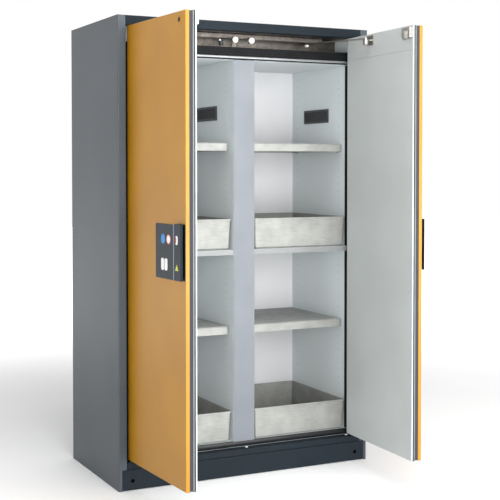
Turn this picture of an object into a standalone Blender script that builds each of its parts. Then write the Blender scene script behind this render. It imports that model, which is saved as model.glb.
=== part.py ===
"""Self-closing safety cabinet for flammable liquids, about 1.2 m wide, doors open.

Metres, +Z up, front towards -Y.  The origin is at floor level, in the middle of the
ground that the cabinet and its open doors cover.  "Inboard" distances count from a
casing side towards the middle, "deep" distances from the front plane towards the back.
"""
import math

import bmesh
import bpy

# Casing
WIDTH = 1.193
DEPTH = 0.615
HEIGHT = 1.953
SHEET = 0.0015                # thickness of the folded steel
BEND = 0.003                  # outside radius of a fold
POST = 0.036                  # width of the front posts
GAP = 0.0003                  # air between two pieces that touch
PLINTH_TOP = 0.0875
PLINTH_INBOARD = 0.014        # the plinth overlaps the posts up to here
SILL_TOP = 0.115
FASCIA_LOW = 1.914
SEAL_FRONT = 0.0474

# Interior boards
BOARD_FRONT = 0.050
BOARD_BACK = 0.606
BACK_FACE = 0.570
WALL_INNER = 0.0715           # inboard face of the side boards
FLOOR_TOP = 0.137
CEILING = 1.797
CEILING_TOP = 1.851
PARTITION = 0.100

# Doors
OPEN_ANGLE = math.radians(87.5)
DOOR_EDGE = 0.047             # inboard place of the closed door's hinge edge
DOOR_MID_GAP = 0.0034
DOOR_THICK = 0.046
DOOR_LOW = 0.126
DOOR_HIGH = 1.911
PIVOT_INSET = 0.008           # hinge axis, from the door's hinge edge and outer face
PIVOT_RADIUS = 0.004
FOLD = 0.015                  # depth of the door skin's folded rim
CORE_BACK = 0.033
STRIP_SEAM = 1.812            # joint between the inner panel and the strip above it
DOOR_WIDTH = WIDTH / 2 - DOOR_MID_GAP / 2 - DOOR_EDGE
REACH = (DOOR_WIDTH - PIVOT_INSET) * math.sin(OPEN_ANGLE) - PIVOT_INSET * (1 - math.cos(OPEN_ANGLE))
FRONT = (REACH - DEPTH) / 2   # world Y of the front plane

# Closer gear above the interior
ARM_ALONG = 0.200             # arm pivot on the door, along it from the hinge axis
ARM_ACROSS = 0.064            # and inwards from the hinge axis
ARM_LENGTH = 0.320
ARM_THICK = 0.005
ARM_LOW = 1.886
TRACK_DEEP = 0.105            # middle of the track
TRACK_HALF = 0.017
CATCH_OUT = 0.0395            # catch knobs, each side of the middle
CATCH_HIGH = 1.884

# Fittings
SHELF_LEVELS = (0.638, 1.440)  # top faces
SHELF_TALL = 0.035
SHELF_FRONT = 0.095
MID_BOARD = (0.953, 0.975)
PIN_RADIUS = 0.003            # support pins of the shelves and middle boards
PIN_DROP = 0.0024             # their axis below the shelf skirt or board
PIN_DEEP = (0.130, 0.520)
PIN_HOLE = 0.008
PIN_REACH = 0.012
TRAY_TALL = 0.134
TRAY_TOP_SIZE = (0.466, 0.505)
TRAY_TAPER = 0.006
TRAY_FRONT = 0.058
FOOT_INBOARD = 0.060
FOOT_DEEP = (0.092, 0.558)
FOOT_HOLE = 0.0064
KEY_HOLE = 0.008              # radius of the holes for the foot adjusting key
KEY_HIGH = 0.040
GRILLE_DEEP = (0.220, 0.450)
GRILLE_HIGH = (1.542, 1.606)
GRILLE_SLOTS = 30
GRILLE_PITCH = 0.0069
DUCT_RADIUS = 0.0375
DUCT_DEEP = 0.470

SIDES = {"left": -1, "right": 1}


# ---------------------------------------------------------------- tools

def start_empty_scene():
    """Remove whatever the file holds."""
    for item in list(bpy.data.objects):
        bpy.data.objects.remove(item, do_unlink=True)


def finish(name, rgb, roughness, metallic=0.0):
    """A Principled material."""
    material = bpy.data.materials.new(name)
    material.use_nodes = True
    shader = material.node_tree.nodes["Principled BSDF"]
    shader.inputs["Base Color"].default_value = (*rgb, 1.0)
    shader.inputs["Roughness"].default_value = roughness
    shader.inputs["Metallic"].default_value = metallic
    material.diffuse_color = (*rgb, 1.0)
    return material


def piece(name, form, material, parent=None):
    """Turn a bmesh into a named object, its faces pointing out."""
    bmesh.ops.recalc_face_normals(form, faces=form.faces)
    mesh = bpy.data.meshes.new(name)
    form.to_mesh(mesh)
    form.free()
    item = bpy.data.objects.new(name, mesh)
    bpy.context.scene.collection.objects.link(item)
    item.parent = parent
    if material:
        mesh.materials.append(material)
    return item


def smooth(item, angle=35.0):
    """Shade round faces smooth and keep the edges crisp."""
    item.data.shade_smooth()
    item.data.set_sharp_from_angle(angle=math.radians(angle))


def work_on(item, form, operation):
    """Cut a form out of an object, or fuse it on, with an exact Boolean."""
    tool = piece(item.name + "_tool", form, None, item.parent)
    tool.hide_render = True
    tool.display_type = "WIRE"
    modifier = item.modifiers.new(operation.lower(), "BOOLEAN")
    modifier.operation = operation
    modifier.solver = "EXACT"
    modifier.object = tool


def cut(item, form):
    work_on(item, form, "DIFFERENCE")


def fuse(item, form):
    work_on(item, form, "UNION")


def place(axis, along, first, second):
    """A point from a distance along an axis and its outline's two coordinates."""
    if axis == "X":
        return (along, first, second)
    if axis == "Y":
        return (first, along, second)
    return (first, second, along)


def prism(form, outline, axis, low, high):
    """Extrude an outline along an axis; the outline holds the two other coordinates."""
    ends = [[form.verts.new(place(axis, along, *point)) for point in outline] for along in (low, high)]
    form.faces.new(ends[0])
    form.faces.new(reversed(ends[1]))
    count = len(outline)
    for index in range(count):
        after = (index + 1) % count
        form.faces.new((ends[0][index], ends[0][after], ends[1][after], ends[1][index]))
    return form


def block(form, x, y, z):
    """A box from three pairs of limits."""
    outline = [(x[0], y[0]), (x[1], y[0]), (x[1], y[1]), (x[0], y[1])]
    return prism(form, outline, "Z", *z)


def rod(form, axis, centre, radius, low, high, sides=16):
    """A round bar along an axis."""
    turn = 2 * math.pi / sides
    outline = [(centre[0] + radius * math.cos(turn * (k + 0.5)),
                centre[1] + radius * math.sin(turn * (k + 0.5))) for k in range(sides)]
    return prism(form, outline, axis, low, high)


def turned(form, centre, profile, sides=16):
    """Turn a (radius, height) profile about a vertical axis; closed on the axis or as a ring."""
    loops = []
    for radius, high in profile:
        if radius == 0:
            loops.append([form.verts.new((centre[0], centre[1], high))])
            continue
        angles = [2 * math.pi * k / sides for k in range(sides)]
        loops.append([form.verts.new((centre[0] + radius * math.cos(a), centre[1] + radius * math.sin(a), high))
                      for a in angles])
    ring = profile[0][0] != 0
    pairs = list(zip(loops, loops[1:] + loops[:1] if ring else loops[1:]))
    for below, above in pairs:
        for k in range(sides):
            after = (k + 1) % sides
            corners = [below[k % len(below)], below[after % len(below)],
                       above[after % len(above)], above[k % len(above)]]
            form.faces.new(list(dict.fromkeys(corners)))
    return form


def folded(path, thickness=SHEET, bend=BEND, steps=3):
    """Outline of a sheet folded along a path, the sheet on the path's left side."""
    near, far = [], []
    count = len(path)
    normals = []
    for (x0, y0), (x1, y1) in zip(path, path[1:]):
        length = math.hypot(x1 - x0, y1 - y0)
        normals.append(((y0 - y1) / length, (x1 - x0) / length))
    for index, (x, y) in enumerate(path):
        if index in (0, count - 1):
            nx, ny = normals[0 if index == 0 else -1]
            near.append((x, y))
            far.append((x + nx * thickness, y + ny * thickness))
            continue
        (ax, ay), (bx, by) = normals[index - 1], normals[index]
        left_turn = ax * by - ay * bx > 0
        radius = bend if left_turn else thickness - bend
        scale = radius / (1 + ax * bx + ay * by)
        middle = (x + (ax + bx) * scale, y + (ay + by) * scale)
        start = math.atan2(ay, ax)
        sweep = math.atan2(ax * by - ay * bx, ax * bx + ay * by)
        for step in range(steps + 1):
            angle = start + sweep * step / steps
            ux, uy = math.cos(angle), math.sin(angle)
            near.append((middle[0] - ux * radius, middle[1] - uy * radius))
            far.append((middle[0] - ux * (radius - thickness), middle[1] - uy * (radius - thickness)))
    return near + far[::-1]


def mitred_ring(form, axis, low, high, profile):
    """Carry an (inset, along) profile round a rectangle, mitred at its corners."""
    corners = []
    for inset, along in profile:
        x0, y0, x1, y1 = low[0] + inset, low[1] + inset, high[0] - inset, high[1] - inset
        corners.append([form.verts.new(place(axis, along, *point))
                        for point in ((x0, y0), (x1, y0), (x1, y1), (x0, y1))])
    for first, second in zip(corners, corners[1:] + corners[:1]):
        for side in range(4):
            after = (side + 1) % 4
            form.faces.new((first[side], first[after], second[after], second[side]))
    return form


def round_rectangle(centre, size, radius, steps=3):
    """Points of a rectangle with round corners."""
    points = []
    for quarter, (sx, sy) in enumerate(((1, 1), (-1, 1), (-1, -1), (1, -1))):
        cx = centre[0] + sx * (size[0] / 2 - radius)
        cy = centre[1] + sy * (size[1] / 2 - radius)
        for step in range(steps + 1):
            angle = math.pi / 2 * (quarter + step / steps)
            points.append((cx + radius * math.cos(angle), cy + radius * math.sin(angle)))
    return points


def loft(form, loops):
    """Skin a row of equal loops and cap both ends."""
    rows = [[form.verts.new(point) for point in loop] for loop in loops]
    for below, above in zip(rows, rows[1:]):
        for k in range(len(below)):
            after = (k + 1) % len(below)
            form.faces.new((below[k], below[after], above[after], above[k]))
    form.faces.new(rows[0])
    form.faces.new(reversed(rows[-1]))
    return form


def across(side, inboard):
    """World X of an inboard distance."""
    return side * (WIDTH / 2 - inboard)


def span(side, near, far):
    """World X limits between two inboard distances."""
    return sorted((across(side, near), across(side, far)))


def deep(first, second):
    """World Y limits between two depths."""
    return (FRONT + first, FRONT + second)


# ---------------------------------------------------------------- casing

def make_side_panel(label, side, paint):
    """Side sheet, folded into the front post and the rear flange."""
    path = [(0.025, DEPTH), (0.0, DEPTH), (0.0, 0.0), (POST, 0.0), (POST, 0.034)]
    outline = [(across(side, inboard), FRONT + far) for inboard, far in folded(path)]
    panel = piece("side_panel_" + label, prism(bmesh.new(), outline, "Z", 0.0, HEIGHT - SHEET - GAP), paint)
    notch = block(bmesh.new(), span(side, PLINTH_INBOARD, POST + 0.002), deep(-0.002, 0.036), (-0.002, PLINTH_TOP + GAP))
    cut(panel, notch)
    smooth(panel)


def make_roof(paint):
    """Roof sheet, folded down into the fascia, with the exhaust hole."""
    path = [(DEPTH, 1.928), (DEPTH, HEIGHT), (0.0, HEIGHT), (0.0, FASCIA_LOW), (0.030, FASCIA_LOW)]
    outline = [(FRONT + far, high) for far, high in folded(path)]
    roof = piece("roof_panel", prism(bmesh.new(), outline, "X", -WIDTH / 2, WIDTH / 2), paint)
    ends = bmesh.new()
    for side in SIDES.values():
        block(ends, span(side, -0.002, POST + GAP), deep(-0.002, DEPTH + 0.002), (1.900, HEIGHT - SHEET))
    rod(ends, "Z", (0.0, FRONT + DUCT_DEEP), DUCT_RADIUS + 0.001, 1.940, 1.960, 24)
    cut(roof, ends)
    smooth(roof)


def make_back(paint):
    """Rear sheet with two shallow stiffening folds."""
    half = WIDTH / 2 - 0.0253
    path = [(half, -0.012), (half, 0.0), (-half, 0.0), (-half, -0.012)]
    outline = [(x, FRONT + DEPTH + far) for x, far in folded(path)]
    back = piece("back_panel", prism(bmesh.new(), outline, "Z", 0.020, 1.9275), paint)
    smooth(back)


def make_plinth(paint):
    """Plinth cover with the two holes for the foot adjusting key."""
    path = [(0.030, PLINTH_TOP), (0.0, PLINTH_TOP), (0.0, 0.002), (0.020, 0.002)]
    outline = [(FRONT + far, high) for far, high in folded(path)]
    half = WIDTH / 2 - PLINTH_INBOARD - GAP
    plinth = piece("plinth_panel", prism(bmesh.new(), outline, "X", -half, half), paint)
    holes = bmesh.new()
    for side in SIDES.values():
        rod(holes, "Y", (across(side, FOOT_INBOARD), KEY_HIGH), KEY_HOLE, FRONT - 0.002, FRONT + 0.004)
    cut(plinth, holes)
    smooth(plinth)


def make_sill(paint):
    """Front cross member under the doors."""
    low = PLINTH_TOP + 0.0008
    path = [(0.0465, 0.100), (0.0465, SILL_TOP), (0.0, SILL_TOP), (0.0, low), (0.014, low)]
    outline = [(FRONT + far, high) for far, high in folded(path)]
    half = WIDTH / 2 - POST - GAP
    sill = piece("sill_rail", prism(bmesh.new(), outline, "X", -half, half), paint)
    smooth(sill)


def make_base_frame(paint):
    """Mitred base frame: floor lip, foot flange and top flange on one web."""
    inboard, front, back = 0.006, 0.052, 0.600
    top, shelf, wall = 0.0985, 0.026, 0.002
    profile = [(0.0, 0.0), (0.016, 0.0), (0.016, wall), (wall, wall), (wall, shelf - wall),
               (0.079, shelf - wall), (0.079, shelf), (wall, shelf), (wall, top - wall),
               (0.045, top - wall), (0.045, top), (0.0, top)]
    half = WIDTH / 2 - inboard
    form = mitred_ring(bmesh.new(), "Z", (-half, FRONT + front), (half, FRONT + back), profile)
    frame = piece("base_frame", form, paint)
    holes = bmesh.new()
    for side in SIDES.values():
        for far in FOOT_DEEP:
            rod(holes, "Z", (across(side, FOOT_INBOARD), FRONT + far), FOOT_HOLE, 0.015, 0.035, 12)
        rod(holes, "Y", (across(side, FOOT_INBOARD), KEY_HIGH), KEY_HOLE, FRONT + front - 0.002, FRONT + front + 0.004)
    cut(frame, holes)


def make_foot(name, side, far, zinc):
    """Levelling foot: a pressed disc on a threaded stud."""
    profile = [(0, 0.001), (0.018, 0.001), (0.020, 0.003), (0.020, 0.005), (0.010, 0.009), (0.010, 0.015),
               (0.006, 0.016), (0.006, 0.078), (0.005, 0.080), (0, 0.080)]
    foot = piece(name, turned(bmesh.new(), (0.0, 0.0), profile), zinc)
    foot.location = (across(side, FOOT_INBOARD), FRONT + far, 0.0)
    smooth(foot)


# ---------------------------------------------------------------- interior

def pin_holes(form, face, direction, levels):
    """Blind holes in an upright board for the support pins."""
    for high in levels:
        for far in PIN_DEEP:
            ends = sorted((face + direction * 0.002, face - direction * PIN_HOLE))
            rod(form, "X", (FRONT + far, high - PIN_DROP), PIN_RADIUS + GAP, *ends, 8)
    return form


def add_pins(item, low, first, last):
    """Support pins under a shelf or board, reaching into the holes of both upright boards."""
    pins = bmesh.new()
    for start, way in ((first, -1), (last, 1)):
        ends = sorted((start - way * PIN_REACH, start + way * (PIN_HOLE - GAP)))
        for far in PIN_DEEP:
            rod(pins, "X", (FRONT + far, low - PIN_DROP), PIN_RADIUS, *ends, 8)
    fuse(item, pins)


def pin_levels():
    """Heights that rest on pins: shelf skirts and the middle boards."""
    return [level - SHELF_TALL for level in SHELF_LEVELS] + [MID_BOARD[0]]


def grille_pocket(form, face, direction):
    """Exhaust slot in a board, behind its grille."""
    ends = sorted((face + direction * 0.002, face - direction * 0.012))
    y = deep(GRILLE_DEEP[0] + 0.010, GRILLE_DEEP[1] - 0.010)
    return block(form, ends, y, (GRILLE_HIGH[0] + 0.008, GRILLE_HIGH[1] - 0.008))


def make_walls(board):
    """Side boards with their pin holes, the right one with an exhaust slot."""
    for label, side in SIDES.items():
        form = block(bmesh.new(), span(side, POST + 0.0008, WALL_INNER), deep(BOARD_FRONT, BOARD_BACK), (0.100, 1.948))
        wall = piece("wall_board_" + label, form, board)
        hollows = pin_holes(bmesh.new(), across(side, WALL_INNER), -side, pin_levels())
        if side > 0:
            grille_pocket(hollows, across(side, WALL_INNER), -side)
        cut(wall, hollows)


def make_partition(board):
    """Fire-resistant centre wall, floor to ceiling."""
    form = block(bmesh.new(), (-PARTITION / 2, PARTITION / 2), deep(BOARD_FRONT, BACK_FACE),
                 (FLOOR_TOP + GAP, CEILING - GAP))
    wall = piece("partition", form, board)
    hollows = grille_pocket(bmesh.new(), -PARTITION / 2, -1)
    for side in SIDES.values():
        pin_holes(hollows, side * PARTITION / 2, side, pin_levels())
    cut(wall, hollows)


def make_boards(board):
    """Floor, ceiling and back boards."""
    half = WIDTH / 2 - WALL_INNER - GAP
    x = (-half, half)
    y = deep(BOARD_FRONT, BOARD_BACK)
    piece("floor_board", block(bmesh.new(), x, y, (0.100, FLOOR_TOP)), board)
    ceiling = piece("ceiling_board", block(bmesh.new(), x, y, (CEILING, CEILING_TOP - GAP)), board)
    kerf = block(bmesh.new(), (-half - 0.01, half + 0.01), deep(BOARD_FRONT - 0.002, BOARD_FRONT + 0.006),
                 (CEILING - 0.002, CEILING + 0.007))
    cut(ceiling, kerf)
    piece("back_board", block(bmesh.new(), x, deep(BACK_FACE + GAP, BOARD_BACK),
                              (FLOOR_TOP + GAP, CEILING - GAP)), board)


def make_frame_seal(seal):
    """Black seal round the opening: a ring, with a tall ribbed band across the top."""
    outer = WIDTH / 2 - 0.038
    inner = WIDTH / 2 - WALL_INNER
    y = deep(SEAL_FRONT, BOARD_FRONT - GAP)
    ring = piece("frame_seal", block(bmesh.new(), (-outer, outer), y, (0.1153, CEILING_TOP - GAP)), seal)
    hole = block(bmesh.new(), (-inner, inner), deep(0.040, 0.055), (0.125, 1.812))
    for rib in range(3):
        low = 1.8185 + rib * 0.0105
        block(hole, (-inner, inner), deep(0.040, SEAL_FRONT + 0.0010), (low, low + 0.0045))
    cut(ring, hole)


def make_shelf(name, middle, top, steel):
    """Shelf pressed from one sheet, its four edges folded down into a skirt."""
    wide = WIDTH / 2 - WALL_INNER - PARTITION / 2 - 0.009
    long = BACK_FACE - SHELF_FRONT - 0.004
    centre = (middle, FRONT + SHELF_FRONT + long / 2)
    wall = 0.0012
    rows = [(0.004, top), (0.0, top - 0.004), (0.0, top - SHELF_TALL), (wall, top - SHELF_TALL),
            (wall, top - 0.004), (0.004, top - wall)]
    loops = []
    for inset, high in rows:
        flat = round_rectangle(centre, (wide - 2 * inset, long - 2 * inset), 0.006, 2)
        loops.append([(x, y, high) for x, y in flat])
    shelf = piece(name, loft(bmesh.new(), loops), steel)
    half = (WIDTH / 2 - WALL_INNER - PARTITION / 2) / 2
    add_pins(shelf, top - SHELF_TALL, middle - half, middle + half)
    smooth(shelf)


def make_mid_board(name, side, board):
    """Loose board across one bay, half way up."""
    x = span(side, WALL_INNER + 0.001, WIDTH / 2 - PARTITION / 2 - 0.001)
    plate = piece(name, block(bmesh.new(), x, deep(0.052, BACK_FACE - 0.001), MID_BOARD), board)
    add_pins(plate, MID_BOARD[0], x[0] - 0.001, x[1] + 0.001)


def make_tray(name, middle, low, steel):
    """Leak-proof tray: tapered walls, a narrow hem turned out and down."""
    wall, rim, lip = 0.0012, 0.004, 0.006
    centre = (middle, FRONT + TRAY_FRONT + TRAY_TOP_SIZE[1] / 2)
    top = low + TRAY_TALL
    foot_in = rim + TRAY_TAPER
    rows = [(foot_in + wall + 0.006, low + wall), (foot_in + wall, low + 0.008), (rim + wall, top - 0.0014),
            (rim, top), (0.0012, top), (0.0, top - 0.0012), (0.0, top - lip), (wall, top - lip),
            (wall, top - 0.0020), (0.0019, top - wall), (rim - 0.0007, top - wall), (rim, top - 0.0020),
            (foot_in, low + 0.007), (foot_in + 0.007, low)]
    loops = []
    for inset, high in rows:
        size = (TRAY_TOP_SIZE[0] - 2 * inset, TRAY_TOP_SIZE[1] - 2 * inset)
        flat = round_rectangle(centre, size, 0.009 - inset * 0.3, 3)
        loops.append([(x, y, high) for x, y in flat])
    tray = piece(name, loft(bmesh.new(), loops), steel)
    smooth(tray)


def make_grille(name, face, direction, plastic):
    """Extract grille with a row of upright slots, on the board's face."""
    x = sorted((face + direction * GAP, face + direction * 0.0035))
    grille = piece(name, block(bmesh.new(), x, deep(*GRILLE_DEEP), GRILLE_HIGH), plastic)
    slots = bmesh.new()
    for index in range(GRILLE_SLOTS):
        near = GRILLE_DEEP[0] + 0.0135 + index * GRILLE_PITCH
        block(slots, (face - 0.010, face + 0.010), deep(near, near + 0.0040), (GRILLE_HIGH[0] + 0.0095, GRILLE_HIGH[1] - 0.0095))
    cut(grille, slots)


def make_duct_collar(zinc):
    """Round exhaust connection, flush with the roof."""
    outer = DUCT_RADIUS
    profile = [(outer - 0.0025, 1.905), (outer, 1.905), (outer, HEIGHT), (outer - 0.0025, HEIGHT)]
    collar = piece("exhaust_collar", turned(bmesh.new(), (0.0, FRONT + DUCT_DEEP), profile, 24), zinc)
    smooth(collar)


# ---------------------------------------------------------------- header with the closer gear

def make_header(zinc):
    """Galvanised channel above the ceiling board, with the posts of the catch knobs."""
    path = [(BOARD_FRONT, CEILING_TOP), (0.165, CEILING_TOP), (0.165, FASCIA_LOW + 0.002), (0.034, FASCIA_LOW + 0.002)]
    outline = [(FRONT + far, high) for far, high in folded(path)]
    half = WIDTH / 2 - WALL_INNER - GAP
    header = piece("header_tray", prism(bmesh.new(), outline, "X", -half, half), zinc)
    posts = bmesh.new()
    for side in SIDES.values():
        middle = side * CATCH_OUT
        block(posts, (middle - 0.010, middle + 0.010), deep(0.0665, 0.0690), (CEILING_TOP + 0.001, CATCH_HIGH + 0.014))
    fuse(header, posts)
    smooth(header)


def make_track(zinc):
    """Channel, open below, in which the rollers of both arms run."""
    high = FASCIA_LOW + 0.0002
    path = [(TRACK_DEEP + TRACK_HALF, 1.8935), (TRACK_DEEP + TRACK_HALF, high),
            (TRACK_DEEP - TRACK_HALF, high), (TRACK_DEEP - TRACK_HALF, 1.8935)]
    outline = [(FRONT + far, up) for far, up in folded(path)]
    track = piece("closer_track", prism(bmesh.new(), outline, "X", across(-1, 0.185), across(1, 0.185)), zinc)
    smooth(track)


def make_catch_knob(label, side, nylon):
    """White catch knob, standing forward from its post."""
    knob = piece("catch_knob_" + label, rod(bmesh.new(), "Y", (side * CATCH_OUT, CATCH_HIGH), 0.013,
                                            FRONT + 0.0510, FRONT + 0.0622, 20), nylon)
    fuse(knob, rod(bmesh.new(), "Y", (side * CATCH_OUT, CATCH_HIGH), 0.006, FRONT + 0.0600, FRONT + 0.0662, 12))
    smooth(knob)


def make_order_lever(plastic):
    """Sprung cranked lever that lets the doors close in turn."""
    pivot = (-0.0985, FRONT + 0.076)
    hub = piece("order_lever", turned(bmesh.new(), (0.0, 0.0), [(0, 1.8531), (0.007, 1.8531), (0.007, 1.8620),
                                      (0.009, 1.8630), (0.009, 1.8800), (0, 1.8800)]), plastic)
    hub.location = (*pivot, 0.0)
    finger = [(0.004, 0.002), (-0.004, 0.004), (-0.018, -0.014), (-0.016, -0.021), (-0.009, -0.020)]
    fuse(hub, prism(bmesh.new(), [(pivot[0] + x, pivot[1] + y) for x, y in finger], "Z", 1.8660, 1.8770))
    smooth(hub)


def arm_angles():
    """World angle of a left arm at rest, and its pivot's world place."""
    x = across(-1, DOOR_EDGE + PIVOT_INSET) + ARM_ALONG * math.cos(OPEN_ANGLE) + ARM_ACROSS * math.sin(OPEN_ANGLE)
    y = FRONT + PIVOT_INSET - ARM_ALONG * math.sin(OPEN_ANGLE) + ARM_ACROSS * math.cos(OPEN_ANGLE)
    angle = math.asin((FRONT + TRACK_DEEP - y) / ARM_LENGTH)
    return angle, (x, y)


def make_closer_arm(label, side, door, steel):
    """Flat arm from the door's bracket to its roller in the track."""
    toward = -side
    angle, _ = arm_angles()
    joint = bpy.data.objects.new("closer_arm_joint_" + label, None)
    bpy.context.scene.collection.objects.link(joint)
    joint.parent = door
    joint.location = (toward * ARM_ALONG, ARM_ACROSS, 0.0)
    joint.rotation_euler = (0.0, 0.0, toward * (angle + OPEN_ANGLE))
    half = 0.008
    outline = []
    for end, start in ((ARM_LENGTH, -90), (0.0, 90)):
        for step in range(7):
            turn = math.radians(start + 30 * step)
            outline.append((toward * (end + half * math.cos(turn)), half * math.sin(turn)))
    arm = piece("closer_arm_" + label, prism(bmesh.new(), outline, "Z", ARM_LOW, ARM_LOW + ARM_THICK), steel, joint)
    tip = (toward * ARM_LENGTH, 0.0)
    roller = turned(bmesh.new(), tip, [(0, 1.8750), (0.0060, 1.8765), (0.0085, 1.8820), (0.0060, ARM_LOW + 0.001),
                                       (0.0045, ARM_LOW + 0.002), (0.0045, 1.8935), (0.0070, 1.8945),
                                       (0.0070, 1.9070), (0, 1.9070)])
    fuse(arm, roller)
    cut(arm, rod(bmesh.new(), "Z", (0.0, 0.0), 0.0046, ARM_LOW - 0.002, ARM_LOW + ARM_THICK + 0.002))
    smooth(arm)


# ---------------------------------------------------------------- doors

def on_door(toward, along):
    """Local X of a distance from the door's hinge edge."""
    return toward * (along - PIVOT_INSET)


def door_block(form, toward, along, thick, z):
    """A box on the door: distances from the hinge edge and from the outer face."""
    x = sorted(on_door(toward, value) for value in along)
    return block(form, x, (thick[0] - PIVOT_INSET, thick[1] - PIVOT_INSET), z)


def pivot_holes(form):
    """Holes for the two pivot pins."""
    for low, high in ((DOOR_LOW - 0.002, DOOR_LOW + 0.022), (DOOR_HIGH - 0.022, DOOR_HIGH + 0.002)):
        rod(form, "Z", (0.0, 0.0), PIVOT_RADIUS + GAP, low, high, 12)
    return form


def make_skin(label, toward, door, paint):
    """Outer door skin: a steel pan with a folded rim."""
    x = sorted((on_door(toward, 0.0), on_door(toward, DOOR_WIDTH)))
    face, back = -PIVOT_INSET, FOLD - PIVOT_INSET
    rows = [(0.0010, face), (0.0, face + 0.0010), (0.0, back), (SHEET, back), (SHEET, face + SHEET)]
    loops = []
    for inset, y in rows:
        x0, x1, z0, z1 = x[0] + inset, x[1] - inset, DOOR_LOW + inset, DOOR_HIGH - inset
        loops.append([(x0, y, z0), (x1, y, z0), (x1, y, z1), (x0, y, z1)])
    skin = piece("door_skin_" + label, loft(bmesh.new(), loops), paint, door)
    cut(skin, pivot_holes(bmesh.new()))


def make_door_boards(label, toward, door, core_finish, panel_finish, seal):
    """Fire core, inner panel, top strip, and the swelling strip let into the edge."""
    inset = SHEET + GAP
    core_form = door_block(bmesh.new(), toward, (inset, DOOR_WIDTH - inset), (inset, CORE_BACK),
                           (DOOR_LOW + inset, DOOR_HIGH - inset))
    core = piece("door_core_" + label, core_form, core_finish, door)
    cut(core, pivot_holes(bmesh.new()))

    front = CORE_BACK + GAP
    groove_deep, groove = 0.006, (front + 0.0022, front + 0.0042)
    x = sorted((on_door(toward, 0.0), on_door(toward, DOOR_WIDTH)))
    low, high = (x[0], DOOR_LOW), (x[1], DOOR_HIGH)
    names = {"door_inner_panel_": (DOOR_LOW, STRIP_SEAM - 0.0004), "door_top_strip_": (STRIP_SEAM + 0.0004, DOOR_HIGH)}
    for name, z in names.items():
        board = piece(name + label, door_block(bmesh.new(), toward, (0.0, DOOR_WIDTH), (front, DOOR_THICK), z),
                      panel_finish, door)
        y = [value - PIVOT_INSET for value in groove]
        ring = [(-0.002, y[0]), (groove_deep, y[0]), (groove_deep, y[1]), (-0.002, y[1])]
        cut(board, mitred_ring(bmesh.new(), "Y", low, high, ring))
    y = (groove[0] + GAP - PIVOT_INSET, groove[1] - GAP - PIVOT_INSET)
    ring = [(0.001, y[0]), (groove_deep - GAP, y[0]), (groove_deep - GAP, y[1]), (0.001, y[1])]
    piece("door_edge_seal_" + label, mitred_ring(bmesh.new(), "Y", low, high, ring), seal, door)


def make_handle(label, toward, door, plastic):
    """Pull handle: a raised plate that overhangs a finger recess on the free side."""
    base = -GAP
    section = [(0.478, base), (0.478, -0.0140), (0.4800, -0.0172), (0.4840, -0.0180), (0.5380, -0.0172),
               (0.5430, -0.0155), (0.5450, -0.0125), (0.5440, -0.0112), (0.5380, -0.0122), (0.5120, -0.0130),
               (0.5070, -0.0110), (0.5055, -0.0070), (0.5055, -0.0012), (0.5462, -0.0012), (0.5462, base)]
    outline = [(on_door(toward, along), thick - PIVOT_INSET) for along, thick in section]
    handle = piece("handle_" + label, prism(bmesh.new(), outline, "Z", 0.912, 1.122), plastic, door)
    smooth(handle)


def make_label_plate(toward, door, plastic):
    """Flat information plate beside the handle."""
    x = [on_door(toward, along) for along in (0.285, 0.4775)]
    outline = round_rectangle((sum(x) / 2, 1.013), (abs(x[1] - x[0]), 0.210), 0.004, 2)
    piece("label_plate", prism(bmesh.new(), outline, "Y", -PIVOT_INSET - 0.0023, -PIVOT_INSET - GAP), plastic, door)


def make_catch_plate(label, toward, door, zinc):
    """Keeper on the top strip: a block with an arched pocket that takes the catch knob."""
    catch = WIDTH / 2 - CATCH_OUT - DOOR_EDGE
    inner = DOOR_THICK + GAP
    form = door_block(bmesh.new(), toward, (catch - 0.0365, catch + 0.0365), (inner, inner + 0.002), (1.857, 1.905))
    plate = piece("catch_plate_" + label, form, zinc, door)
    fuse(plate, door_block(bmesh.new(), toward, (catch - 0.030, catch + 0.030), (inner + 0.001, inner + 0.012),
                           (1.862, 1.9035)))
    arch = [(catch - 0.0165, 1.850), (catch + 0.0165, 1.850)]
    for step in range(9):
        turn = math.pi * step / 8
        arch.append((catch + 0.0165 * math.cos(turn), CATCH_HIGH + 0.0165 * math.sin(turn)))
    outline = [(on_door(toward, along), high) for along, high in arch]
    y = (inner + 0.0020 - PIVOT_INSET, inner + 0.0140 - PIVOT_INSET)
    cut(plate, prism(bmesh.new(), outline, "Y", *y))


def make_arm_bracket(label, toward, door, zinc):
    """Bracket on the top strip that carries the closer arm's pivot."""
    inner = DOOR_THICK + GAP - PIVOT_INSET
    middle = toward * ARM_ALONG
    form = block(bmesh.new(), (middle - 0.025, middle + 0.025), (inner, inner + 0.003), (1.862, 1.902))
    bracket = piece("arm_bracket_" + label, form, zinc, door)
    tongue = block(bmesh.new(), (middle - 0.010, middle + 0.010), (inner + 0.001, ARM_ACROSS), (1.8800, 1.8850))
    fuse(bracket, tongue)
    boss = turned(bmesh.new(), (middle, ARM_ACROSS),
                  [(0, 1.8620), (0.0100, 1.8620), (0.0115, 1.8635), (0.0115, 1.8850), (0.0060, ARM_LOW - GAP),
                   (0.0043, ARM_LOW - GAP), (0.0043, ARM_LOW + ARM_THICK + GAP),
                   (0.0075, ARM_LOW + ARM_THICK + GAP), (0.0065, 1.8945), (0, 1.8945)])
    fuse(bracket, boss)
    smooth(bracket)


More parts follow.
